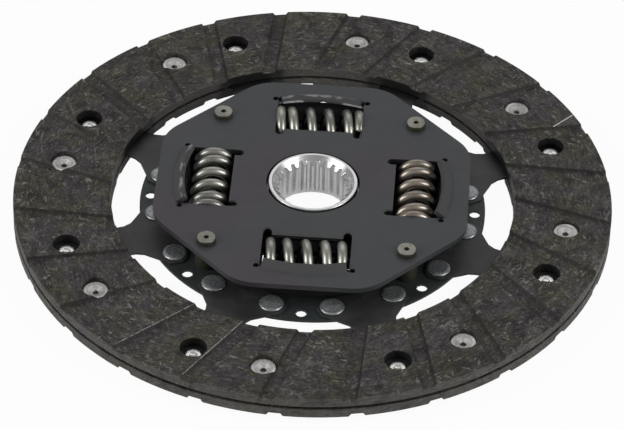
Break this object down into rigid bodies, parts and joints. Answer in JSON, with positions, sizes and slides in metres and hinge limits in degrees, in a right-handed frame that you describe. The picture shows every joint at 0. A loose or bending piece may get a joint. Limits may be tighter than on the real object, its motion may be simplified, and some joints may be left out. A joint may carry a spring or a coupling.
{
  "type": "clutch disc",
  "caption": "Dry clutch disc: grooved friction rings riveted to cushion segments round a spring-loaded torsion damper with a splined hub.",
  "frame": {"origin": "on the hub's axis, half way between the two working faces", "axes": "+Z along the hub's axis towards the cover plate, the side of the gearbox; the four spring windows lie on X and Y"},
  "size_m": [0.215, 0.215, 0.0196],
  "materials": {
    "facing": "moulded friction material with yarn flecks, ground flat",
    "segment_steel": "tempered spring steel, grey",
    "facing_rivet": "pale plated rivet",
    "segment_rivet": "dark blued rivet",
    "plate_steel": "dark phosphated steel, satin",
    "pin_zinc": "yellow zinc",
    "hub_steel": "machined steel",
    "flange_steel": "dark stamped steel",
    "bush_plastic": "dark glass-filled plastic",
    "friction_ring": "moulded friction ring",
    "washer_steel": "plain spring steel",
    "spring_steel": "oil-tempered spring wire, shot-peened"
  },
  "bodies": {
    "plates": {"facing_front": "facing", "facing_rear": "facing", "cushion_segment_1": "segment_steel", "cushion_segment_2": "segment_steel", "cushion_segment_3": "segment_steel", "cushion_segment_4": "segment_steel", "cushion_segment_5": "segment_steel", "cushion_segment_6": "segment_steel", "cushion_segment_7": "segment_steel", "cushion_segment_8": "segment_steel", "facing_rivets_front": "facing_rivet", "facing_rivets_rear": "facing_rivet", "segment_rivets": "segment_rivet", "drive_plate": "plate_steel", "cover_plate": "plate_steel", "spacer_pins": "pin_zinc", "guide_bush": "bush_plastic", "friction_ring": "friction_ring", "support_washer": "washer_steel", "cup_spring": "washer_steel"},
    "hub_body": {"hub": "hub_steel", "hub_flange": "flange_steel"},
    "springs": {"damper_spring_1": "spring_steel", "damper_spring_2": "spring_steel", "damper_spring_3": "spring_steel", "damper_spring_4": "spring_steel", "inner_spring_1": "spring_steel", "inner_spring_3": "spring_steel"}
  },
  "joints": [
    {"name": "damper_twist", "type": "hinge", "parent": "plates", "child": "hub_body", "pos_m": [0, 0, 0], "axis": [0, 0, 1], "range_deg": [-8, 8], "stiffness_Nm_per_rad": 1107, "deforming": ["damper_spring_1", "damper_spring_2", "damper_spring_3", "damper_spring_4", "inner_spring_1", "inner_spring_3"]},
    {"name": "spring_follow", "type": "hinge", "parent": "plates", "child": "springs", "pos_m": [0, 0, 0], "axis": [0, 0, 1], "range_deg": [-4, 4]}
  ],
  "couplings": [
    {"joint": "spring_follow", "follows": "damper_twist", "ratio": 0.5}
  ]
}
